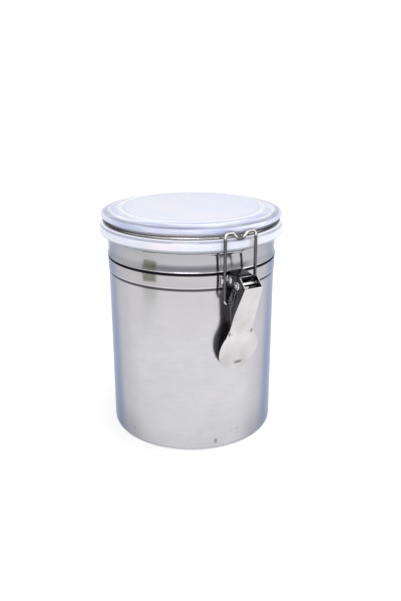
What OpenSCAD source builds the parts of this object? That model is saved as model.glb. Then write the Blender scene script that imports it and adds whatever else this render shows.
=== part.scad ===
// Food canister with a clear lid, a wire hinge at the back and a wire bail toggle latch at the front.
// Origin: centre of the flat base. +Z up, the latch is at -Y, the hinge at +Y. Millimetres.

/* [Body shell] */
// Outer radius of the straight wall
body_r = 63.5; // [55:0.5:75]
// Sheet thickness of the shell
wall = 0.8; // [0.6:0.1:1.5]
// Outer radius of the bottom corner
corner_r = 4; // [2:0.5:8]
// Height of the lower edge of the band above the base
band_z = 129.4; // [90:0.5:180]
// How far the neck above the bead stands out past the wall
neck_step = 0.2; // [0.1:0.1:0.6]
// Height of the neck between bead and rim
neck_h = 14.3; // [12:0.1:22]
// Minor radius of the rolled bead over the band
bead_r = 0.8; // [0.5:0.1:1.1]
// Open crevice between the band and the bead
crevice = 1; // [0.4:0.1:1.6]
// Minor radius of the curled rim
rim_r = 1; // [0.6:0.1:1.2]

/* [Closure band] */
// Height of the band
band_h = 10; // [9:0.5:14]
// Thickness of the band
band_t = 0.6; // [0.4:0.1:1]

/* [Lid] */
// How far the flange stands out past the curled rim
flange_over = 5; // [4:0.1:9]
// Height of the flange
flange_h = 8; // [5:0.5:10]
// Radius of the flange's upper edge
flange_top_round = 2.2; // [1:0.1:3]
// Radius of the flange's lower edge
flange_low_round = 1; // [0.4:0.1:1.5]
// Height of the groove above the flange
groove_h = 4.4; // [3.4:0.2:6]
// Radial depth of the groove from the flange's edge
groove_depth = 4.5; // [4:0.1:5.5]
// How far the disc's rim stays inside the flange's edge
rim_inset = 0.9; // [0.4:0.1:1.5]
// Height of the disc's rounded rim
rim_h = 3.2; // [2.4:0.2:5]
// Rise of the sloping shoulder from the rim to the panel
shoulder_rise = 2.6; // [1:0.2:5]
// Width of the sloping shoulder between the panel and the rim's edge
shoulder_w = 14.9; // [10:0.1:24]
// Thickness of the plastic in the panel and the skirt
lid_t = 2.6; // [1.8:0.1:3.4]
// Depth of the skirt below the flange
skirt_h = 7.4; // [4:0.2:9]
// Radial gap between the skirt and the inside of the rim
skirt_gap = 1.1; // [0.8:0.1:2]

/* [Gasket] */
// Thickness of the gasket under the flange
gasket_t = 1.6; // [1:0.1:2.4]
// Outer radius of the gasket past the rim's outer edge
gasket_over = 1.4; // [0.5:0.1:2.5]

/* [Wire] */
// Radius of the bail and ring wire
wire_r = 1.15; // [0.8:0.05:1.2]
// Inner bend radius is this centre radius less the wire
bend_r = 3; // [2.4:0.1:4]

/* [Latch] */
// Half of the outer width of the lever's channel
lever_half_w = 7.2; // [6:0.1:8]
// Half of the width of the lever's face at its waist
waist_half_w = 9.1; // [7:0.1:11]
// Sheet thickness of lever and bracket
sheet_t = 0.8; // [0.6:0.1:1]
// Pivot's distance out from the band
pivot_out = 15; // [12:0.25:17]
// Pivot's height above the lower edge of the band
pivot_up = 5.8; // [4.5:0.1:6.5]
// Radius of the pivot pin
pivot_r = 1.6; // [1.2:0.1:2]
// Radius of the pivot pin's heads
pivot_head_r = 2.9; // [2.4:0.1:3.4]
// Outer radius of the bracket's ears around the pivot
ear_r = 4; // [3:0.1:5]
// Width of the bracket's tabs on the band
tab_w = 5.6; // [4.5:0.1:8]
// Bail hole's depth below the pivot
bail_drop = 15.4; // [13:0.1:17]
// Distance from the middle to the bail's leg
leg_x = 12.2; // [11:0.1:14]
// How far the bail's corners stand above the flange
corner_up = 5; // [2:0.2:7]
// Reach of the lever's face past the pivot at its top
face_out = 9.5; // [8:0.1:11]
// Lean of the lever's straight part from the vertical
lever_lean = 24.5; // [20:0.5:30]
// Length of the lever's straight part, measured down
straight_drop = 35.4; // [30:0.2:38]
// Radius that the lower part of the lever is curved to
sweep_r = 62; // [54:1:90]
// Length of the whole lever, measured down from its top
lever_drop = 68; // [60:0.5:72]
// Half of the paddle's width
paddle_half_w = 16; // [11:0.1:18]

/* [Hinge] */
// Distance of the hinge axis outside the flange
hinge_out = 3.4; // [3:0.1:5]
// Distance of the hinge axis below the flange
hinge_down = 5.5; // [5:0.1:7]
// Half of the distance between the arms of the hinge loop
arm_x = 9; // [8:0.5:12]
// Outer radius of the knuckle
knuckle_r = 2.3; // [2:0.1:2.6]
// Half of the width of the hinge's plate on the band
hinge_half_w = 12; // [10:0.5:15]
// Half of the knuckle's length
knuckle_half_w = 5.6; // [4:0.1:6]

/* [Hidden] */
$fn = 96;

steel = [0.74, 0.73, 0.74];
bright = [0.83, 0.83, 0.85];
clear = [0.86, 0.87, 0.97, 0.45];
rubber = [0.93, 0.93, 0.96];

run = 0.05;                                    // running clearance of pins and wires
play = 0.4;                                    // side play between bracket and lever
seat = 0.1;                                    // clearance of soft and loose parts at rest
far = 400;                                     // larger than the whole object

neck_r = body_r + neck_step;
band_r = body_r + band_t;
band_top = band_z + band_h;
bead_z = band_top + crevice + bead_r;
rim_top = bead_z + neck_h;
rim_out = neck_r - wall / 2 + rim_r;
flange_r = rim_out + flange_over;
flange_z = rim_top + seat + gasket_t;
flange_top = flange_z + flange_h;
disc_r = flange_r - rim_inset;
panel_r = disc_r - shoulder_w;
disc_z = flange_top + groove_h;
groove_r = flange_r - groove_depth;
shoulder_z = disc_z + rim_h;
lid_top = shoulder_z + shoulder_rise;
skirt_r = neck_r - wall - skirt_gap;

pivot_u = band_r + pivot_out;
pivot_z = band_z + pivot_up;
bail_u = flange_r + wire_r + seat;
stop_z = pivot_z + 0.6;                        // height of the stop pin
bail_z = pivot_z - bail_drop;
bail_top = flange_top + corner_up;
rest_z = flange_top + wire_r / 3;              // lowest place of the bail's bar
face_u = pivot_u + face_out;
face_z = pivot_z + 0.2;
ear_x = lever_half_w - sheet_t - play;         // outer side of the bracket's ears
hinge_y = flange_r + hinge_out;
hinge_z = flange_z - hinge_down;
ring_r = groove_r + wire_r + 2 * seat;
ring_z = flange_top + wire_r + seat;
rivet_z = band_z + band_h / 2;

// A flat shape in the plane of (distance from the axis, height), given a width across the latch.
module across_front(x0, x1) {
    translate([x0, 0, 0]) rotate([90, 0, -90]) mirror([0, 0, 1]) linear_extrude(x1 - x0) children();
}

// The same for the back of the canister.
module across_back(x0, x1) {
    translate([x0, 0, 0]) rotate([90, 0, 90]) linear_extrude(x1 - x0) children();
}

module both_sides() {
    children();
    mirror([1, 0, 0]) children();
}

// A rod along X, centred at a distance and a height.
module rod(r, x0, x1, y, z) {
    translate([x0, y, z]) rotate([0, 90, 0]) cylinder(r = r, h = x1 - x0, $fn = 48);
}

// A wire's bend in the plane of X and Z: starts at +X of the centre and turns by an angle.
module bend_xz(x, y, z, r, from, turn) {
    translate([x, y, z]) rotate([90, 0, 0]) rotate([0, 0, from])
        rotate_extrude(angle = turn, $fn = 72) translate([r, 0]) circle(r = wire_r, $fn = 32);
}

// --- Shell, band ---

module shell_outline(inset) {
    r = body_r - inset;
    c = corner_r - inset;
    translate([0, inset]) square([r - c, c + 1]);
    intersection() {
        translate([r - c, inset + c]) circle(r = c);
        translate([r - c, inset]) square([c, c]);
    }
    translate([0, inset + c]) square([r, band_top - inset - c]);
    translate([0, band_top]) square([r, bead_z - band_top]);
    translate([0, bead_z]) square([neck_r - inset, rim_top - rim_r - bead_z]);
}

module body_shell() {
    color(steel) rotate_extrude($fn = 180) {
        difference() {
            union() {
                shell_outline(0);
                translate([neck_r - bead_r + 0.6, bead_z]) circle(r = bead_r, $fn = 40);
            }
            shell_outline(wall);
            translate([0, band_top]) square([neck_r - wall - neck_step, far]);
        }
        translate([neck_r - wall / 2, rim_top - rim_r]) circle(r = rim_r, $fn = 40);
    }
}

module closure_band() {
    color(steel) rotate_extrude($fn = 180) {
        translate([body_r, band_z]) square([band_t, band_h]);
    }
}

// --- Latch bracket on the band ---

module bracket_side() {
    top = band_top + ear_r * 0.75;
    front = band_top + ear_r * 0.3;
    polygon([[body_r - ear_r, top], [pivot_u - ear_r * 0.35, front],
        [pivot_u + ear_r * 0.7, pivot_z + ear_r * 0.7], [pivot_u, pivot_z - ear_r], [body_r - ear_r, pivot_z - ear_r * 1.1]]);
    translate([pivot_u, pivot_z]) circle(r = ear_r, $fn = 48);
}

module bracket_top() {
    back = band_top + ear_r * 0.75;
    front = band_top + ear_r * 0.3;
    polygon([[body_r - ear_r, back], [pivot_u - ear_r * 0.35, front],
        [pivot_u - ear_r * 0.35, front - sheet_t], [body_r - ear_r, back - sheet_t]]);
}

module latch_bracket() {
    color(bright) difference() {
        union() {
            both_sides() across_front(ear_x - sheet_t, ear_x) bracket_side();
            across_front(-ear_x, ear_x) bracket_top();
            intersection() {
                rotate_extrude($fn = 180) translate([band_r, band_z + 0.8])
                    square([sheet_t, band_h - 1.6]);
                translate([-ear_x - tab_w, -far, 0]) cube([2 * (ear_x + tab_w), far, far]);
            }
        }
        cylinder(r = band_r, h = bead_z - bead_r, $fn = 180);
        translate([0, 0, band_top]) cylinder(r = neck_r + bead_r, h = far, $fn = 180);
        rod(pivot_r, -far, far, -pivot_u, pivot_z);
        rod(1.2, -far, far, -band_r - 3.6, stop_z);
        both_sides() latch_rivet_hole();
    }
}

module latch_rivet_hole() {
    translate([ear_x + tab_w * 0.6, 0, rivet_z]) rotate([90, 0, 0]) cylinder(r = 1.1, h = far, $fn = 32);
}

module latch_bracket_rivets() {
    color(bright) both_sides() intersection() {
        rotate_extrude($fn = 180) translate([band_r, 0]) square([sheet_t + 0.5, far]);
        union() {
            latch_rivet_hole();
            difference() {
                translate([ear_x + tab_w * 0.6, 0, rivet_z]) rotate([90, 0, 0])
                    cylinder(r = 1.9, h = far, $fn = 40);
                cylinder(r = band_r + sheet_t, h = far, $fn = 180);
            }
        }
    }
}

module bracket_stop_pin() {
    color(bright) {
        rod(1.2, -ear_x, ear_x, -band_r - 3.6, stop_z);
        both_sides() rod(2.3, ear_x, ear_x + play - 0.1, -band_r - 3.6, stop_z);
    }
}

module lever_pivot_pin() {
    color(bright) {
        rod(pivot_r, -lever_half_w - run, lever_half_w + run, -pivot_u, pivot_z);
        both_sides() difference() {
            rod(pivot_head_r, lever_half_w + run, lever_half_w + run + 0.9, -pivot_u, pivot_z);
            rod(pivot_head_r / 3, lever_half_w + 0.6, far, -pivot_u, pivot_z);
        }
    }
}

// --- Lever ---

function sweep_u() = face_u - straight_drop * tan(lever_lean) + sweep_r * cos(lever_lean);
function sweep_z() = face_z - straight_drop - sweep_r * sin(lever_lean);

// All that lies outside the lever's line, moved in by an amount towards the body.
module outside_lever_line(inset) {
    r = sweep_r + inset;
    end_u = sweep_u() - r * cos(lever_lean);
    end_z = sweep_z() + r * sin(lever_lean);
    rise = face_z + 5 - end_z;
    translate([sweep_u(), sweep_z()]) circle(r = r, $fn = 360);
    polygon([[end_u, end_z], [end_u + rise * tan(lever_lean), end_z + rise],
        [far, end_z + rise], [far, sweep_z()], [sweep_u(), sweep_z()]]);
    translate([sweep_u(), 0]) square([far - sweep_u(), sweep_z() + 1]);
}

// The face's thin strip in the plane of distance and height.
module face_strip() {
    intersection() {
        difference() {
            outside_lever_line(sheet_t);
            outside_lever_line(0);
        }
        translate([0, face_z - lever_drop]) square([far, lever_drop]);
    }
}

module lever_side() {
    joint_u = sweep_u() - (sweep_r + sheet_t / 2) * cos(lever_lean);
    joint_z = sweep_z() + (sweep_r + sheet_t / 2) * sin(lever_lean);
    top_u = joint_u + (face_z - joint_z) * tan(lever_lean);
    polygon([[top_u, face_z], [pivot_u + 2.4, pivot_z + 6], [pivot_u - 2.5, pivot_z + 3.9],
        [bail_u - 3.3, bail_z + 0.8], [bail_u - 1.6, bail_z - 3], [joint_u - 0.6, joint_z - 4],
        [joint_u, joint_z]]);
    translate([pivot_u, pivot_z]) circle(r = 4.6, $fn = 48);
    translate([bail_u, bail_z]) circle(r = 3.4, $fn = 48);
}

// Front view of the lever's face: a channel that widens to its waist, and the round paddle.
module face_front() {
    joint_z = face_z - straight_drop;
    paddle_z = face_z - lever_drop + paddle_half_w;
    flare = paddle_half_w - waist_half_w;
    polygon([[-lever_half_w, face_z], [lever_half_w, face_z], [waist_half_w, joint_z + flare + 6],
        [waist_half_w, paddle_z], [-waist_half_w, paddle_z], [-waist_half_w, joint_z + flare + 6]]);
    translate([0, paddle_z]) circle(r = paddle_half_w, $fn = 96);
    difference() {
        polygon([[-waist_half_w, joint_z + 1], [waist_half_w, joint_z + 1],
            [paddle_half_w, paddle_z], [-paddle_half_w, paddle_z]]);
        both_sides_flat() translate([waist_half_w + flare * 1.4, joint_z + 3])
            circle(r = flare * 1.4, $fn = 64);
    }
}

module both_sides_flat() {
    children();
    mirror([1, 0]) children();
}

module lever() {
    color(bright) difference() {
        union() {
            both_sides() across_front(lever_half_w - sheet_t, lever_half_w) lever_side();
            intersection() {
                across_front(-paddle_half_w, paddle_half_w) face_strip();
                rotate([90, 0, 0]) linear_extrude(far) face_front();
            }
            both_sides() across_front(lever_half_w, lever_half_w + 0.3) lever_boss();
        }
        rod(pivot_r + run, -far, far, -pivot_u, pivot_z);
        rod(wire_r + run, -far, far, -bail_u, bail_z);
    }
}

// Long raised pad on the lever's flank around the bail's hole.
module lever_boss() {
    translate([bail_u, bail_z]) circle(r = 2.6, $fn = 40);
    polygon([[bail_u - 2.6, bail_z], [bail_u + 2.6, bail_z], [bail_u + 6.6, bail_z + 11],
        [bail_u + 2.8, bail_z + 11]]);
}

// --- Bail wire, flat in one plane ---

module bail_wire() {
    y = -bail_u;
    bar_in = leg_x - bend_r;
    dip = bail_top - rest_z;
    dip_x = bar_in * 0.5;
    dip_turn = 2 * atan(dip / dip_x);
    dip_r = dip_x / sin(dip_turn);
    color(bright) both_sides() {
        translate([leg_x, y, bail_z + bend_r])
            cylinder(r = wire_r, h = bail_top - bail_z - 2 * bend_r, $fn = 32);
        bend_xz(leg_x - bend_r, y, bail_z + bend_r, bend_r, -90, 90);
        rod(wire_r, ear_x - 0.3, leg_x - bend_r, y, bail_z);
        bend_xz(leg_x - bend_r, y, bail_top - bend_r, bend_r, 0, 90);
        bend_xz(bar_in, y, bail_top - dip_r, dip_r, 90, dip_turn);
        bend_xz(0, y, rest_z + dip_r, dip_r, -90, dip_turn);
    }
}

// --- Lid, gasket, ring ---

module lid_outline() {
    low = flange_low_round;
    top = flange_top_round;
    translate([0, flange_z + low]) square([flange_r, flange_h - low - top]);
    translate([0, flange_z]) square([flange_r - low, flange_h / 2]);
    translate([flange_r - low, flange_z + low]) circle(r = low, $fn = 32);
    translate([0, flange_top - flange_h / 2]) square([flange_r - top, flange_h / 2]);
    translate([flange_r - top, flange_top - top]) circle(r = top, $fn = 48);
    translate([0, flange_top - 1]) square([groove_r, groove_h + 2]);
    translate([0, disc_z]) square([disc_r - rim_h / 2, rim_h]);
    translate([disc_r - rim_h / 2, disc_z + rim_h / 2]) circle(r = rim_h / 2, $fn = 48);
    polygon([[0, shoulder_z], [disc_r - rim_h / 2, shoulder_z], [panel_r + 3, lid_top - 0.5],
        [panel_r, lid_top], [0, lid_top]]);
    translate([0, flange_z - skirt_h]) square([skirt_r, skirt_h]);
}

module lid_hollow() {
    inner = skirt_r - lid_t;
    polygon([[0, 0], [inner, 0], [inner, shoulder_z - lid_t], [panel_r, lid_top - lid_t],
        [0, lid_top - lid_t]]);
}

module lid() {
    color(clear) rotate_extrude($fn = 180) difference() {
        lid_outline();
        lid_hollow();
    }
}

module gasket() {
    color(rubber) rotate_extrude($fn = 180)
        translate([skirt_r, flange_z - gasket_t]) square([rim_out + gasket_over - skirt_r, gasket_t]);
}

module lid_ring() {
    color(bright) translate([0, 0, ring_z]) rotate_extrude($fn = 180)
        translate([ring_r, 0]) circle(r = wire_r, $fn = 32);
}

// Bent wire welded to the ring: two arms over the flange and a cross bar that turns in the knuckle.
module hinge_loop() {
    reach_y = sqrt(pow(ring_r, 2) - pow(arm_x, 2));
    color(bright) {
        both_sides() {
            translate([arm_x, reach_y, ring_z]) rotate([-90, 0, 0])
                cylinder(r = wire_r, h = hinge_y - bend_r - reach_y, $fn = 32);
            translate([arm_x, hinge_y - bend_r, ring_z - bend_r]) rotate([90, 0, 90])
                rotate_extrude(angle = 90, $fn = 72) translate([bend_r, 0]) circle(r = wire_r, $fn = 32);
            translate([arm_x, hinge_y, hinge_z + bend_r])
                cylinder(r = wire_r, h = ring_z - hinge_z - 2 * bend_r, $fn = 32);
            bend_xz(arm_x - bend_r, hinge_y, hinge_z + bend_r, bend_r, -90, 90);
        }
        rod(wire_r, -(arm_x - bend_r), arm_x - bend_r, hinge_y, hinge_z);
    }
}

// --- Hinge bracket on the band ---

module hinge_bracket() {
    tongue_in = neck_r + bead_r + 0.3;
    color(bright) difference() {
        union() {
            intersection() {
                rotate_extrude($fn = 180) translate([band_r, band_z + 0.8]) square([1.2, band_h - 1.6]);
                translate([-hinge_half_w, 0, 0]) cube([2 * hinge_half_w, far, far]);
            }
            across_back(-knuckle_half_w, knuckle_half_w) {
                polygon([[tongue_in, band_top - 2.4], [tongue_in + 1, band_top - 3],
                    [tongue_in + 1.2, band_top + 1.2], [hinge_y - 0.4, hinge_z - knuckle_r + 0.1],
                    [hinge_y - knuckle_r + 0.2, hinge_z], [tongue_in, band_top + 2]]);
                translate([hinge_y, hinge_z]) circle(r = knuckle_r, $fn = 48);
            }
        }
        rod(wire_r + run, -far, far, hinge_y, hinge_z);
        both_sides() hinge_rivet_hole();
    }
}

module hinge_rivet_hole() {
    translate([(knuckle_half_w + hinge_half_w) / 2, 0, rivet_z]) rotate([-90, 0, 0])
        cylinder(r = 1.1, h = far, $fn = 32);
}

module hinge_bracket_rivets() {
    color(bright) both_sides() intersection() {
        rotate_extrude($fn = 180) translate([band_r, 0]) square([1.7, far]);
        union() {
            hinge_rivet_hole();
            difference() {
                translate([(knuckle_half_w + hinge_half_w) / 2, 0, rivet_z]) rotate([-90, 0, 0])
                    cylinder(r = 1.9, h = far, $fn = 40);
                cylinder(r = band_r + 1.2, h = far, $fn = 180);
            }
        }
    }
}

body_shell();
closure_band();
latch_bracket();
latch_bracket_rivets();
bracket_stop_pin();
lever_pivot_pin();
lever();
bail_wire();
lid();
gasket();
lid_ring();
hinge_loop();
hinge_bracket();
hinge_bracket_rivets();
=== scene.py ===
"""Food canister with a clamp lid: formed steel, wire and clear plastic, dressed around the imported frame.

Lengths are written in millimetres and turned into metres where a mesh is made. +Z is up, the latch is
at -Y and the hinge at +Y.
"""
import math

import bpy
from mathutils import Matrix, Vector


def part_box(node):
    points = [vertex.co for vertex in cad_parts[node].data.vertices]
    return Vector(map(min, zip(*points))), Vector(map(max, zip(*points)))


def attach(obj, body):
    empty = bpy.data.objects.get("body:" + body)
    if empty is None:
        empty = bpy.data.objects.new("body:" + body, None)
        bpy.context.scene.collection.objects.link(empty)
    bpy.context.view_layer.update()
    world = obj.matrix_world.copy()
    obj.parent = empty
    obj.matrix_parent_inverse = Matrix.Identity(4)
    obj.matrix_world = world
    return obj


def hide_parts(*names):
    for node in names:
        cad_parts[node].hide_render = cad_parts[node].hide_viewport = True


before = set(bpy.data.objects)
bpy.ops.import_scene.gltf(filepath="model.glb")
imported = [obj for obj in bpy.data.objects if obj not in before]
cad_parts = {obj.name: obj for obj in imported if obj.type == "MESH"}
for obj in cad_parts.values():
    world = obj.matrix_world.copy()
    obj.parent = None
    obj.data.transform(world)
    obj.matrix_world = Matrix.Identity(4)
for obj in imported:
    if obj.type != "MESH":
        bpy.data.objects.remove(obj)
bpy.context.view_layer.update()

MM = 0.001
BEYOND = 400               # a length past every part of the canister
FULL = 2                   # a level over every share and noise
ROUND_STEPS = 8            # points along a fillet of an outline
TURNS = 256                # steps of a full turn of the large round pieces
WIRE_STEPS = 12            # points along a bend of a wire


# --- Sizes in millimetres, taken from the frame or given ---

def low(node, axis):
    """Lowest corner of a CAD node along an axis."""
    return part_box(node)[0][axis] / MM


def high(node, axis):
    """Highest corner of a CAD node along an axis."""
    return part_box(node)[1][axis] / MM


BAND_R = high("closure_band", 0)
BAND_Z = low("closure_band", 2)
BAND_TOP = high("closure_band", 2)
RIM_Z = high("body_shell", 2)
FLANGE_R = high("lid", 0)
LID_TOP = high("lid", 2)
SKIRT_Z = low("lid", 2)
GASKET_R = high("gasket", 0)
GASKET_Z = low("gasket", 2)
FLANGE_Z = high("gasket", 2)
RING_TOP = high("lid_ring", 2)
RING_R = high("lid_ring", 0)

BODY_R = BAND_R - 0.6
NECK_R = BODY_R + 0.2
WALL = 0.8
CORNER_R = 4
CURL_R = 1                 # radius of the curled rim
BEAD_Z = BAND_TOP + 1.8
BEAD_R = 0.7
BEAD_HALF = 0.75           # half of the bead's height
WIRE_R = (RING_TOP - low("lid_ring", 2)) / 2
FLANGE_TOP = RING_TOP - 2 * WIRE_R - 0.1
GROOVE_R = RING_R - 2 * WIRE_R - 0.2
DISC_Z = FLANGE_TOP + 4.4
DISC_R = FLANGE_R - 0.9
LID_T = 2.6                # thickness of the lid's plastic
RIM_H = 3.2                # height of the disc's rounded rim
PANEL_R = 53.5
SKIRT_R = 61.8
PADDLE_Z = 86              # height of the paddle's fullest part
PADDLE_REACH = 20          # how far its bulge reaches up and down
PADDLE_BULGE = 3.2         # how far its middle is pressed out
PADDLE_TUCK = 1.4          # how far its tip is pressed in
SMEAR_X = -13.5            # sideways place of the dark smear at the foot of the shell


# --- Modelling helpers ---

def deselect():
    bpy.ops.object.select_all(action="DESELECT")


def filleted(corners, steps=ROUND_STEPS):
    """Closed outline of (x, y, fillet radius) corners, with each corner turned by an arc."""
    points = []
    count = len(corners)
    for i, (x, y, radius) in enumerate(corners):
        here = Vector((x, y))
        if radius <= 0:
            points.append((x, y))
            continue
        before = (Vector(corners[i - 1][:2]) - here).normalized()
        after = (Vector(corners[(i + 1) % count][:2]) - here).normalized()
        half = before.angle(after) / 2
        reach = radius / math.tan(half)
        centre = here + (before + after).normalized() * (radius / math.sin(half))
        start = here + before * reach - centre
        turn = start.angle_signed(here + after * reach - centre)
        for step in range(steps + 1):
            spoke = start.copy()
            spoke.rotate(Matrix.Rotation(-turn * step / steps, 2))
            points.append((centre.x + spoke.x, centre.y + spoke.y))
    return points


def named(name, slot_name, body, *nodes):
    """Name the active object and say what it rides on and replaces; slot_name is not used."""
    piece = bpy.context.object
    piece.name = name
    piece.data.name = name
    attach(piece, body)
    if nodes:
        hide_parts(*nodes)
    return piece


def smooth(angle=32):
    bpy.ops.object.shade_smooth_by_angle(angle=math.radians(angle))


def outline_piece(points):
    """Add a circle and set its corners to an outline in the plane of X and Z."""
    deselect()
    bpy.ops.mesh.primitive_circle_add(vertices=len(points), radius=0.01, location=(0, 0, 0))
    for corner, (x, z) in zip(bpy.context.object.data.vertices, points):
        corner.co = (x * MM, 0, z * MM)


def lathe(points, turns=TURNS):
    """Spin a closed outline of (radius, height) about the canister's axis."""
    outline_piece(points)
    bpy.ops.object.mode_set(mode="EDIT")
    bpy.ops.mesh.select_all(action="SELECT")
    bpy.ops.mesh.spin(steps=turns, angle=math.tau, center=(0, 0, 0), axis=(0, 0, 1))
    bpy.ops.mesh.select_all(action="SELECT")
    bpy.ops.mesh.remove_doubles(threshold=0.000002)
    bpy.ops.mesh.normals_make_consistent(inside=False)
    bpy.ops.object.mode_set(mode="OBJECT")
    smooth()


def bent_path(corners):
    """Points along a wire through (x, y, z, bend radius) corners."""
    path = []
    for i, corner in enumerate(corners):
        here = Vector(corner[:3])
        radius = corner[3]
        if i in (0, len(corners) - 1) or radius <= 0:
            path.append(here)
            continue
        before = (Vector(corners[i - 1][:3]) - here).normalized()
        after = (Vector(corners[i + 1][:3]) - here).normalized()
        half = before.angle(after) / 2
        reach = radius / math.tan(half)
        centre = here + (before + after).normalized() * (radius / math.sin(half))
        start = here + before * reach - centre
        end = here + after * reach - centre
        turn = start.angle(end)
        for step in range(WIRE_STEPS + 1):
            share = step / WIRE_STEPS
            spoke = (start * math.sin((1 - share) * turn) + end * math.sin(share * turn)) / math.sin(turn)
            path.append(centre + spoke)
    return path


def wire(path, radius=WIRE_R):
    """Round wire along a path, with filled ends, as a mesh."""
    deselect()
    line = bpy.data.curves.new("wire", "CURVE")
    line.dimensions = "3D"
    line.bevel_depth = radius * MM
    line.bevel_resolution = 6
    line.use_fill_caps = True
    run = line.splines.new("POLY")
    run.points.add(len(path) - 1)
    for point, place in zip(run.points, path):
        point.co = (*(place * MM), 1)
    holder = bpy.data.objects.new("wire", line)
    bpy.context.collection.objects.link(holder)
    bpy.context.view_layer.objects.active = holder
    holder.select_set(True)
    bpy.ops.object.convert(target="MESH")
    smooth(50)


def softened(node, width, shape=None, segments=3, angle=28):
    """Copy of a CAD node, formed by a function of its points, with its edges rounded over."""
    deselect()
    source = bpy.data.objects[node]
    copy = bpy.data.objects.new(node + "_formed", source.data.copy())
    bpy.context.collection.objects.link(copy)
    bpy.context.view_layer.objects.active = copy
    copy.select_set(True)
    bpy.ops.object.mode_set(mode="EDIT")
    bpy.ops.mesh.select_all(action="SELECT")
    bpy.ops.mesh.remove_doubles(threshold=0.000003)
    bpy.ops.mesh.dissolve_limited(angle_limit=math.radians(0.6))
    bpy.ops.object.mode_set(mode="OBJECT")
    for corner in copy.data.vertices:
        if shape:
            shape(corner.co)
    edge = copy.modifiers.new("edge", "BEVEL")
    edge.width = width * MM
    edge.segments = segments
    edge.limit_method = "ANGLE"
    edge.angle_limit = math.radians(angle)
    edge.harden_normals = False
    bpy.ops.object.modifier_apply(modifier="edge")
    smooth(angle)


# --- Finishes ---

class Level:
    """One socket of a finish, so that sums on it read as plain arithmetic."""

    def __init__(self, finish, socket):
        self.finish = finish
        self.socket = socket

    def maths(self, operation, first, second):
        return self.finish.node("ShaderNodeMath", {"operation": operation}, {0: first, 1: second})

    def __add__(self, other):
        return self.maths("ADD", self, other)

    __radd__ = __add__

    def __sub__(self, other):
        return self.maths("SUBTRACT", self, other)

    def __rsub__(self, other):
        return self.maths("SUBTRACT", other, self)

    def __mul__(self, other):
        return self.maths("MULTIPLY", self, other)

    __rmul__ = __mul__

    def __abs__(self):
        return self.maths("ABSOLUTE", self, 0)

    def __pow__(self, other):
        return self.maths("POWER", self, other)


class Finish:
    """A Principled material with constants on its own sockets and patterns from nodes."""

    def __init__(self, name, **constants):
        self.material = bpy.data.materials.new(name)
        self.material.use_nodes = True
        self.tree = self.material.node_tree
        self.shader = self.tree.nodes["Principled BSDF"]
        for words, value in constants.items():
            self.shader.inputs[words.replace("_", " ")].default_value = value

    def node(self, kind, settings=None, sockets=None, output=0):
        made = self.tree.nodes.new(kind)
        for key, value in (settings or {}).items():
            setattr(made, key, value)
        for key, value in (sockets or {}).items():
            self.feed(made.inputs[key], value)
        return Level(self, made.outputs[output])

    def feed(self, socket, value):
        if isinstance(value, Level):
            self.tree.links.new(value.socket, socket)
        else:
            socket.default_value = value

    def set(self, words, value):
        self.feed(self.shader.inputs[words], value)

    def place(self, stretch=(1, 1, 1)):
        """Object coordinates in metres, stretched."""
        raw = self.node("ShaderNodeTexCoord", output="Object")
        return self.node("ShaderNodeMapping", sockets={"Vector": raw, "Scale": stretch})

    def place_mm(self):
        """Distance along X, distance from the axis and height over the floor, in millimetres."""
        raw = self.node("ShaderNodeTexCoord", output="Object")
        x, y, z = (self.node("ShaderNodeSeparateXYZ", sockets={"Vector": raw}, output=axis) * 1000
                   for axis in "XYZ")
        return x, (x * x + y * y) ** 0.5, z

    def facing(self):
        """0 where the surface faces the eye, 1 where it is seen edge-on."""
        return self.node("ShaderNodeLayerWeight", sockets={"Blend": 0.5}, output="Facing")

    def between(self, value, start, end, soft):
        """1 between two levels, with soft ends."""
        rise = self.node("ShaderNodeMapRange", {"interpolation_type": "SMOOTHSTEP"},
                         {"Value": value, "From Min": start - soft, "From Max": start + soft})
        fall = self.node("ShaderNodeMapRange", {"interpolation_type": "SMOOTHSTEP"},
                         {"Value": value, "From Min": end - soft, "From Max": end + soft})
        return rise * (1 - fall)

    def noise(self, stretch, detail=2, roughness=0.5):
        return self.node("ShaderNodeTexNoise", sockets={
            "Vector": self.place(stretch), "Scale": 1.0, "Detail": detail, "Roughness": roughness})

    def ramp(self, value, *stops):
        """Colour ramp over (position, colour) stops."""
        made = self.tree.nodes.new("ShaderNodeValToRGB")
        stop_list = made.color_ramp.elements
        while len(stop_list) < len(stops):
            stop_list.new(0.5)
        for stop, (position, colour) in zip(stop_list, stops):
            stop.position = position
            stop.color = (*colour, 1)
        self.feed(made.inputs["Fac"], value)
        return Level(self, made.outputs["Color"])

    def mix(self, share, first, second):
        made = self.tree.nodes.new("ShaderNodeMix")
        made.data_type = "RGBA"
        self.feed(made.inputs["Factor"], share)
        for key, value in (("A", first), ("B", second)):
            socket = [s for s in made.inputs if s.name == key and s.type == "RGBA"][0]
            self.feed(socket, value if isinstance(value, Level) else (*value, 1))
        output = [s for s in made.outputs if s.type == "RGBA"][0]
        return Level(self, output)

    def bump(self, height, strength, distance):
        self.set("Normal", self.node("ShaderNodeBump", sockets={
            "Height": height, "Strength": strength, "Distance": distance}))


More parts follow.
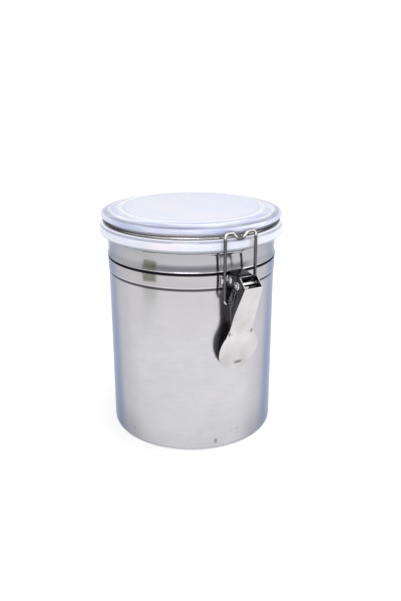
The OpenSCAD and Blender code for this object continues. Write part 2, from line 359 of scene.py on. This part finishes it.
def brushed_finish(name, colour, roughness):
    """Steel with fine lines around the canister and faint clouds, with painted grey and blue-grey
    reflection where it turns away from the eye and painted shade where it turns away low down.

    Gives the finish, its colour, its fine lines, the place of a point and its roughness.
    """
    finish = Finish(name, Metallic=1.0, Specular_Tint=(0.66, 0.7, 0.8, 1))
    fine = finish.noise((40, 40, 1300), detail=4, roughness=0.7)
    cloud = finish.noise((26, 26, 34), detail=4, roughness=0.55)
    dark = tuple(c * 0.91 for c in colour)
    light = tuple(c * 1.09 for c in colour)
    tone = finish.ramp(fine * 0.5 + cloud * 0.5, (0.32, dark), (0.68, light))
    place = finish.place_mm()
    # Painted reflection: grey, then blue-grey, as the surface turns away from the eye; painted shade where
    # it turns away in the lowest 20 mm.
    edge = finish.facing()
    low_edge_shade = finish.between(edge, 0.4, FULL, 0.14) * finish.between(place[2], -BEYOND, 20, 16)
    tone = finish.mix(finish.between(edge, 0.42, FULL, 0.12) * 0.4, tone, (0.4, 0.38, 0.41))
    tone = finish.mix(finish.between(edge, 0.63, FULL, 0.1), tone, (0.27, 0.31, 0.41))
    tone = finish.mix(low_edge_shade * 0.45, tone, (0.22, 0.215, 0.24))
    return finish, tone, fine, place, roughness + (fine - 0.5) * 0.16


def satin_steel():
    """Body shell: satin and polished above the bead, with painted shade on the neck, a painted dark
    reflection in the hollow over the bead, a painted highlight on the bead, painted shade in the crevice,
    under the band and at the foot, a painted darker reflection towards its top, and grimy specks and a
    smear near its lower edge.

    The painted shade, reflections and highlight are on the outside only; the inside is plain and lighter,
    as painted light.
    """
    finish, tone, lines, place, rough = brushed_finish("satin_steel", (0.565, 0.555, 0.58), 0.21)
    across, radius, height = place
    outside = finish.between(radius, BODY_R - 0.5, BEYOND, 0.1)
    neck = finish.between(height, BEAD_Z + 0.5, BEYOND, 0.4) * outside
    front = finish.between(across, -52, 11, 6)
    cove_dark_reflection = finish.between(height, BEAD_Z + 0.9, BEAD_Z + 5.0, 1.9) * outside * (0.3 + front * 0.7)
    bead = finish.between(height, BEAD_Z + 0.05, BEAD_Z + 0.85, 0.15) * outside * (0.2 + front * 0.8)
    # Painted shade in the crevice between the band and the bead; it also roughens the steel there.
    crevice = finish.between(height, BAND_TOP - 0.4, BAND_TOP + 1.75, 0.15) * outside
    # Painted shadow in a line under the band.
    under = finish.between(height, BAND_Z - 1.7, BAND_Z + 0.4, 0.35) * outside
    # Painted shade at the foot of the shell, where it meets the floor.
    foot = finish.between(height, -1, 1.8, 1.2) * outside
    dirt = finish.noise((150, 150, 150), detail=5)
    specks = finish.between(dirt, 0.68, FULL, 0.02) * finish.between(height, 4, 15, 4)
    smear = (finish.between(abs(across - SMEAR_X), -2, 1.1, 0.9) * finish.between(height, 6, 9.6, 1.3)
             * (dirt * 1.5))
    rub = finish.noise((150, 150, 420), detail=5, roughness=0.7)
    # Darker towards the top of the shell: painted reflection.
    upper = finish.between(height, 106, BAND_Z + 60, 26)
    tone = finish.mix(finish.between(rub, 0.6, FULL, 0.08) * 0.15, tone, (0.36, 0.35, 0.36))
    tone = finish.mix(upper * 0.45, tone, (0.44, 0.42, 0.44))
    # Painted shade on the neck, under the lid's overhanging flange; its lower roughness is a real polish.
    tone = finish.mix(neck * 0.5, tone, (0.33, 0.33, 0.35))
    # Painted dark reflection in the hollow over the bead, stronger between 52 mm left and 11 mm right of
    # the middle.
    tone = finish.mix(cove_dark_reflection * 0.8, tone, (0.1, 0.1, 0.125))
    # Painted highlight along the bead.
    tone = finish.mix(bead * 0.7, tone, (0.76, 0.76, 0.79))
    # The inside gets a lighter plain colour: painted light.
    tone = finish.mix(outside, (0.82, 0.81, 0.83), tone)
    # Painted shade (crevice, under the band, foot) and real dirt (specks, a smear) darken the colour
    # together.
    shade_and_dirt = crevice + under * 0.85 + foot * 0.4 + specks * 0.5 + smear * 0.7
    finish.set("Base Color", finish.mix(shade_and_dirt, tone, (0.016, 0.014, 0.018)))
    finish.set("Roughness", rough - neck * 0.08 + crevice * 0.3)
    finish.bump(lines, 0.06, 0.00003)
    return finish.material


def band_steel():
    """Band: brighter than the shell, with painted shade along its two edges and a painted highlight over
    the lower one.
    """
    finish, tone, lines, place, rough = brushed_finish("band_steel", (0.46, 0.445, 0.46), 0.12)
    height = place[2]
    rolled = finish.between(height, BAND_Z + 0.8, BAND_Z + 1.4, 0.25)
    ends = finish.between(height, BAND_Z + 0.35, BAND_TOP - 0.55, 0.2)
    # Painted highlight along the band's rolled lower edge.
    tone = finish.mix(rolled * 0.3, tone, (0.88, 0.88, 0.89))
    # Painted shade along the band's two edges; the middle keeps the steel's tone.
    finish.set("Base Color", finish.mix(ends, (0.07, 0.065, 0.07), tone))
    finish.set("Roughness", rough)
    finish.bump(lines, 0.08, 0.00004)
    return finish.material


def pressed_steel(name, top_start):
    """Lever and brackets: polished face, painted dark reflection on flanks and backs, dark marks at waist
    and tip.

    Faces that look up by more than top_start get the painted dark reflection as well.
    """
    finish = Finish(name, Metallic=1.0)
    rubs = finish.noise((300, 300, 60), detail=3, roughness=0.6)
    smudge = finish.noise((60, 60, 38), detail=3)
    tone = finish.ramp(smudge, (0.3, (0.5, 0.48, 0.48)), (0.64, (0.66, 0.645, 0.655)))
    normal = finish.node("ShaderNodeNewGeometry", output="Normal")
    side, back, up = (finish.node("ShaderNodeSeparateXYZ", sockets={"Vector": normal}, output=axis)
                      for axis in "XYZ")
    across, _, height = finish.place_mm()
    # Painted dark reflection, streaked, on faces turned to the sides.
    flank_dark_reflection = finish.between(abs(side), 0.8, FULL, 0.12)
    # Painted dark reflection on faces turned to the back.
    back_dark_reflection = finish.between(back, 0.4, FULL, 0.2)
    # Painted dark reflection on faces that look up past top_start.
    top = finish.between(up, top_start, FULL, 0.03)
    streak = finish.noise((500, 500, 25), detail=2)
    dark = finish.ramp(streak, (0.35, (0.045, 0.045, 0.05)), (0.7, (0.15, 0.145, 0.14)))
    tip_mark = finish.between(abs(across - 1.5), -2, 2.9, 1.6) * finish.between(height, 71.2, 73.4, 1.1)
    waist_mark = finish.between(abs(across), 8.4, 9.9, 0.4) * finish.between(height, 96, 99, 0.8)
    tone = finish.mix(tip_mark * 0.85 + waist_mark * 0.8, tone, (0.1, 0.1, 0.1))
    tone = finish.mix(flank_dark_reflection, tone, dark)
    tone = finish.mix(back_dark_reflection * 0.85, tone, (0.07, 0.07, 0.075))
    finish.set("Base Color", finish.mix(top, tone, (0.014, 0.014, 0.018)))
    finish.set("Roughness", 0.1 + rubs * 0.1 + smudge * 0.1)
    finish.bump(rubs, 0.06, 0.0001)
    return finish.material


def drawn_wire():
    """Wire with painted dark reflection on its sides, where its round surface turns from the eye; the bail
    is bright with painted dark reflection on its legs.
    """
    finish = Finish("drawn_wire", Metallic=1.0)
    marks = finish.noise((900, 900, 120), detail=2)
    tone = finish.ramp(marks, (0.3, (0.36, 0.35, 0.35)), (0.7, (0.52, 0.51, 0.5)))
    _, radius, height = finish.place_mm()
    legs = finish.between(height, low("bail_wire", 2) + 3.4, FLANGE_TOP + 1.6, 1.4)
    bail = finish.between(radius, FLANGE_R + 0.05, BEYOND, 0.04)
    # Painted dark reflection on the wire's sides.
    edge = finish.between(finish.facing(), 0.28, FULL, 0.2)
    tone = finish.mix(bail * 0.75, tone, (0.86, 0.85, 0.84))
    # Painted dark reflection on the bail's legs.
    tone = finish.mix(legs * bail * 0.93, tone, (0.06, 0.06, 0.07))
    finish.set("Base Color", finish.mix(edge, tone, (0.03, 0.03, 0.035)))
    finish.set("Roughness", 0.12 + marks * 0.12)
    return finish.material


def bright_rivet():
    """Rivets and pins, a little worn."""
    finish = Finish("bright_rivet", Metallic=1.0)
    marks = finish.noise((1200, 1200, 1200), detail=2)
    finish.set("Base Color", finish.ramp(marks, (0.3, (0.78, 0.77, 0.77)), (0.7, (0.9, 0.9, 0.9))))
    finish.set("Roughness", 0.12 + marks * 0.14)
    return finish.material


def clear_plastic():
    """Lid: clear moulded plastic with a lilac cast and painted light: bright and blue reflections round
    its slope, a highlight and shade by the panel's edge, shade at its rim, edge-on sides, flange, lower
    edge and where the ring sits, and a faint glow.
    """
    finish = Finish("clear_plastic", IOR=1.49, Coat_Weight=0.6, Coat_Roughness=0.02)
    _, radius, height = finish.place_mm()
    flow = finish.noise((14, 14, 40), detail=2)
    swirl = finish.noise((34, 34, 12), detail=3)
    around = finish.node("ShaderNodeTexCoord", output="Object")
    x, y = (finish.node("ShaderNodeSeparateXYZ", sockets={"Vector": around}, output=axis)
            for axis in "XY")
    ring = finish.node("ShaderNodeCombineXYZ", sockets={"X": x * 26, "Y": y * 26, "Z": radius * 0.3})
    streak = finish.node("ShaderNodeTexNoise", sockets={"Vector": ring, "Scale": 1.0, "Detail": 2.0})
    # Painted bright and blue reflections round the slope.
    slope_reflections = finish.ramp(streak, (0.36, (0.4, 0.45, 0.72)), (0.5, (0.64, 0.69, 0.9)),
                          (0.62, (0.92, 0.95, 1)))
    tone = finish.ramp(flow * 0.5 + swirl * 0.5, (0.38, (0.76, 0.84, 1.0)), (0.5, (0.84, 0.87, 1.0)),
                       (0.62, (0.93, 0.87, 0.95)))
    top = finish.between(height, DISC_Z + 0.6, BEYOND, 0.3)
    slope = finish.between(radius, PANEL_R + 2.6, BEYOND, 1) * top
    panel_edge_highlight = finish.between(radius, PANEL_R - 1.0, PANEL_R + 1.6, 0.5) * top
    fold = finish.between(radius, PANEL_R - 3.2, PANEL_R - 1.6, 0.7) * top
    rim_shade = finish.between(radius, 62.9, 66.6, 0.8) * top
    groove_shade = finish.between(height, FLANGE_TOP + 0.15, FLANGE_TOP + 3.1, 0.3)
    flange_line = finish.between(height, FLANGE_Z + 6.1, FLANGE_Z + 7.6, 0.3) * (1 - top)
    flange_top_glow = finish.between(height, FLANGE_TOP - 0.3, FLANGE_TOP + 0.12, 0.1)
    low_edge_shade = finish.between(height, -BEYOND, FLANGE_Z + 1.2, 0.4)
    tone = finish.mix(slope * 0.8, tone, slope_reflections)
    # Painted blue shade just inside the panel's edge.
    tone = finish.mix(fold * 0.5, tone, (0.5, 0.55, 0.8))
    # Painted highlight along the panel's edge.
    tone = finish.mix(panel_edge_highlight * 0.9, tone, (1, 1, 1))
    # Painted blue reflection where the lid is seen edge-on.
    tone = finish.mix(finish.between(finish.facing(), 0.86, FULL, 0.16) * 0.8, tone, (0.22, 0.26, 0.6))
    # Painted dark blue shade round the rim, broken up by swirls.
    tone = finish.mix(rim_shade * (swirl * 1.7), tone, (0.25, 0.26, 0.4))
    # Painted shade in a line along the flange's side.
    tone = finish.mix(flange_line * 0.75, tone, (0.3, 0.33, 0.44))
    # Painted shade in the recess where the ring sits.
    tone = finish.mix(groove_shade * 0.6, tone, (0.28, 0.28, 0.35))
    # Painted shade on the skirt and the lowest edge of the flange.
    tone = finish.mix(low_edge_shade * 0.6, tone, (0.2, 0.2, 0.24))
    finish.set("Base Color", tone)
    # Painted glow: the lid gives off a faint light of its own, white on the flange's top and tinted
    # elsewhere.
    finish.set("Emission Color", finish.mix(flange_top_glow, finish.mix(0.85, tone, (0, 0, 0)), (1, 1, 1)))
    finish.set("Emission Strength", 0.4)
    finish.set("Roughness", 0.05 + flow * 0.06)
    # Less clear where that recess's shade is painted.
    finish.set("Alpha", 0.86 + groove_shade * 0.14)
    finish.bump(flow, 0.08, 0.002)
    return finish.material


def soft_seal():
    """Gasket: translucent grey rubber."""
    finish = Finish("soft_seal", IOR=1.42, Subsurface_Weight=0.3)
    grain = finish.noise((400, 400, 400), detail=3)
    finish.set("Base Color", finish.ramp(grain, (0.3, (0.5, 0.5, 0.53)), (0.7, (0.6, 0.6, 0.63))))
    finish.set("Roughness", 0.4 + grain * 0.15)
    return finish.material


def dress(piece, material):
    """Give a piece its one finish."""
    piece.data.materials.clear()
    piece.data.materials.append(material)


# --- Pieces ---

def arc(x, z, width, height, start, end, step):
    """Points on an ellipse between two angles in degrees."""
    return [(x + width * math.cos(math.radians(d)), z + height * math.sin(math.radians(d)))
            for d in range(start, end + 1, step)]


def shell_outline():
    """Outside from the base up, round the curled rim, and down the inside."""
    curl_z = RIM_Z - CURL_R
    curl_r = NECK_R - WALL / 2
    inner = BODY_R - WALL
    return ([(0, 0.35), (BODY_R - CORNER_R - 6, 0.35), (BODY_R - CORNER_R - 5, 0)]
            + filleted([(BODY_R - CORNER_R - 4, 0, 0), (BODY_R, 0, CORNER_R), (BODY_R, 20, 0)])[:-1]
            + [(BODY_R, BAND_TOP), (BODY_R - 0.25, BAND_TOP + 0.3), (BODY_R - 0.25, BAND_TOP + 0.9)]
            + arc(BODY_R + 0.1, BEAD_Z, BEAD_R, BEAD_HALF, -75, 75, 15)
            + [(NECK_R + 0.35 * (1 - t) ** 2 - 0.15, BEAD_Z + 0.9 + 4.2 * t)
               for t in (0, 0.2, 0.4, 0.6, 0.8)]
            + [(NECK_R - 0.05, BEAD_Z + 6.2), (NECK_R, curl_z - 1.4)]
            + arc(curl_r, curl_z, CURL_R, CURL_R, -50, 230, 20)
            + [(curl_r - 0.4, curl_z - 1.4), (inner + 0.2, BEAD_Z + 1), (inner, BEAD_Z - 1)]
            + filleted([(inner, 40, 0), (inner, WALL + 0.35, CORNER_R - WALL), (30, WALL + 0.35, 0)])
            + [(0, WALL + 0.35)])


def body_shell(material):
    lathe(shell_outline())
    dress(named("body_shell_drawn", "satin_steel", "canister", "body_shell"), material)


def closure_band(material):
    inner = BODY_R + 0.01
    lathe(filleted([(inner, BAND_Z, 0), (BAND_R, BAND_Z, 0.2), (BAND_R, BAND_TOP, 0.25),
                    (inner, BAND_TOP, 0)], 4))
    dress(named("closure_band_rolled", "band_steel", "canister", "closure_band"), material)


def lid_outline():
    """Outside from the skirt up over the panel, and back down the hollow inside."""
    inner = SKIRT_R - LID_T
    shoulder = DISC_Z + RIM_H
    return ([(0, LID_TOP)] + filleted([
        (PANEL_R, LID_TOP, 0.4), (PANEL_R + 3, LID_TOP - 0.5, 1.5),
        (DISC_R - 2.2, shoulder + 0.1, 2.5), (DISC_R, shoulder - 0.9, 0.9),
        (DISC_R, DISC_Z + 0.5, 0.6), (DISC_R - 1.2, DISC_Z, 0.4),
        (GROOVE_R, DISC_Z - 0.3, 0.5), (GROOVE_R, FLANGE_TOP, 0.5),
        (FLANGE_R - 1, FLANGE_TOP, 2.0), (FLANGE_R, FLANGE_TOP - 2.4, 1.2), (FLANGE_R, FLANGE_Z, 0.9),
        (SKIRT_R, FLANGE_Z, 0.2), (SKIRT_R, SKIRT_Z, 0.8), (inner, SKIRT_Z, 0.8),
        (inner, shoulder - LID_T, 1.5), (PANEL_R, LID_TOP - LID_T, 1.5)], 6) + [(0, LID_TOP - LID_T)])


def lid(material):
    lathe(lid_outline())
    dress(named("lid_moulding", "clear_plastic", "lid_body", "lid"), material)


def gasket(material):
    lathe(filleted([(SKIRT_R, GASKET_Z, 0.2), (GASKET_R, GASKET_Z, 0.5), (GASKET_R, FLANGE_Z, 0.5),
                    (SKIRT_R, FLANGE_Z, 0.2)], 5))
    dress(named("gasket_ring", "soft_seal", "lid_body", "gasket"), material)


def lid_ring(material):
    centre = RING_R - WIRE_R
    height = RING_TOP - WIRE_R
    lathe([(centre + WIRE_R * math.cos(a), height + WIRE_R * math.sin(a))
           for a in [math.tau * k / 16 for k in range(16)]])
    dress(named("lid_ring_wire", "wire_steel", "lid_body", "lid_ring"), material)


def bail_path():
    """Half of the bail from the middle of its bar to the end in the lever, then the other half."""
    y = low("bail_wire", 1) + WIRE_R
    leg = high("bail_wire", 0) - WIRE_R
    foot = low("bail_wire", 2) + WIRE_R
    top = high("bail_wire", 2) - WIRE_R
    dip = FLANGE_TOP + WIRE_R / 3
    half = [(5.7, foot, 0), (leg, foot, 3), (leg, top, 2.8), (5.9, top, 3.4), (1.8, dip, 2.8)]
    right = [(x, y, z, bend) for x, z, bend in half]
    left = [(-x, y, z, bend) for x, y, z, bend in reversed(right)]
    return bent_path(right + left)


def bail_wire(material):
    wire(bail_path())
    dress(named("bail_wire_bent", "wire_steel", "bail_body", "bail_wire"), material)


def hinge_loop(material):
    """Wire from the ring down into the hinge's knuckle and up again."""
    y = high("hinge_loop", 1) - WIRE_R
    arm = high("hinge_loop", 0) - WIRE_R
    foot = low("hinge_loop", 2) + WIRE_R
    top = high("hinge_loop", 2) - WIRE_R
    start = low("hinge_loop", 1) + 0.2
    right = [(arm, start, top, 0), (arm, y, top, 3), (arm, y, foot, 3)]
    left = [(-x, py, z, bend) for x, py, z, bend in reversed(right)]
    wire(bent_path(right + left))
    dress(named("hinge_loop_bent", "wire_steel", "lid_body", "hinge_loop"), material)


def spoon(place):
    """Press the paddle outward in its middle and in at its tip."""
    share = (place.z / MM - PADDLE_Z) / PADDLE_REACH
    if share < 1:
        bulge = PADDLE_BULGE * max(0, 1 - share * share) ** 2
        tuck = PADDLE_TUCK * max(0, -share) ** 2
        place.y -= (bulge - tuck) * MM


def sheet_pieces(lever_steel, bracket_steel, bright):
    """Folded sheet and rivets: the CAD shapes with their edges rounded over."""
    for node, width, material, slot_name, body in (
            ("lever", 0.22, lever_steel, "latch_steel", "lever_body"),
            ("latch_bracket", 0.18, bracket_steel, "latch_steel", "canister"),
            ("hinge_bracket", 0.18, bracket_steel, "latch_steel", "canister"),
            ("lever_pivot_pin", 0.25, bright, "rivet_steel", "canister"),
            ("bracket_stop_pin", 0.1, bright, "rivet_steel", "canister"),
            ("latch_bracket_rivets", 0.15, bright, "rivet_steel", "canister"),
            ("hinge_bracket_rivets", 0.15, bright, "rivet_steel", "canister")):
        softened(node, width, spoon if node == "lever" else None)
        dress(named(node + "_formed", slot_name, body, node), material)


# --- Studio ---

LATCH_TURN = 28.9          # degrees that the latch is turned to the right of the view
VIEW_SIDE = 5.2            # sideways place of the camera
VIEW_BACK = 516.0          # distance of the camera from the axis
VIEW_UP = 284.0            # height of the camera
VIEW_PITCH = 19.76         # degrees that the camera looks down
VIEW_YAW = 0.2             # degrees that it looks to the right
FOCAL_PIXELS = 690.0       # focal length in pixels of the frame
FRAME_HEIGHT = 601
SENSOR = 36
CARD_PLACE = (-0.36, -0.056, 0.17)
CARD_SIZE = (0.12, 0.3)


def camera():
    turn = Matrix.Rotation(math.radians(-LATCH_TURN), 4, "Z")
    deselect()
    bpy.ops.object.camera_add(location=turn @ Vector((VIEW_SIDE, -VIEW_BACK, VIEW_UP)) * MM)
    lens_holder = bpy.context.object
    lens_holder.rotation_euler = (math.radians(90 - VIEW_PITCH), 0, math.radians(-LATCH_TURN - VIEW_YAW))
    lens_holder.data.sensor_fit = "AUTO"
    lens_holder.data.sensor_width = SENSOR
    lens_holder.data.lens = FOCAL_PIXELS / FRAME_HEIGHT * SENSOR
    bpy.context.scene.camera = lens_holder


def floor():
    deselect()
    bpy.ops.mesh.primitive_plane_add(size=6, location=(0, 0, 0))
    ground = bpy.context.object
    ground.name = "floor"
    finish = Finish("floor_paint", Base_Color=(0.9, 0.9, 0.9, 1), Roughness=0.9)
    rays = finish.tree.nodes.new("ShaderNodeLightPath")
    seen = Level(finish, rays.outputs["Is Camera Ray"]) + Level(finish, rays.outputs["Is Glossy Ray"])
    finish.set("Emission Color", (1, 1, 1, 1))
    finish.set("Emission Strength", seen * 0.25)
    dress(ground, finish.material)


def lamp(name, place, size, energy):
    """Soft square light aimed at the middle of the canister."""
    bpy.ops.object.light_add(type="AREA", location=place)
    light = bpy.context.object
    light.name = name
    light.data.size = size
    light.data.energy = energy
    light.rotation_euler = (Vector((0, 0, 0.09)) - Vector(place)).to_track_quat("-Z", "Y").to_euler()


def studio():
    world = bpy.data.worlds.new("studio")
    bpy.context.scene.world = world
    world.use_nodes = True
    back = world.node_tree.nodes["Background"]
    back.inputs["Color"].default_value = (1, 1, 1, 1)
    rays = world.node_tree.nodes.new("ShaderNodeLightPath")
    level = world.node_tree.nodes.new("ShaderNodeMapRange")
    world.node_tree.links.new(rays.outputs["Is Diffuse Ray"], level.inputs["Value"])
    level.inputs["To Min"].default_value = 1.0
    level.inputs["To Max"].default_value = 0.8
    world.node_tree.links.new(level.outputs["Result"], back.inputs["Strength"])
    lamp("key_light", (-0.8, -1.1, 1.3), 0.9, 9)
    lamp("fill_light", (1.2, -0.6, 0.9), 0.8, 4)
    bpy.context.scene.view_settings.view_transform = "Standard"


def dark_card():
    """Grey-green card at the left, seen only where the polished neck and band mirror it."""
    deselect()
    bpy.ops.mesh.primitive_plane_add(size=1, location=CARD_PLACE,
                                     rotation=(math.pi / 2, 0, math.pi / 2))
    card = bpy.context.object
    card.name = "dark_card"
    card.scale = (*CARD_SIZE, 1)
    bpy.ops.object.transform_apply(location=False, rotation=False, scale=True)
    card.visible_camera = False
    finish = Finish("card_paint", Base_Color=(0.52, 0.56, 0.44, 1), Roughness=0.9)
    dress(card, finish.material)


camera()
floor()
studio()
dark_card()
wire_finish = drawn_wire()
body_shell(satin_steel())
closure_band(band_steel())
lid(clear_plastic())
gasket(soft_seal())
lid_ring(wire_finish)
bail_wire(wire_finish)
hinge_loop(wire_finish)
sheet_pieces(pressed_steel("lever_steel", 0.97), pressed_steel("bracket_steel", 0.6), bright_rivet())
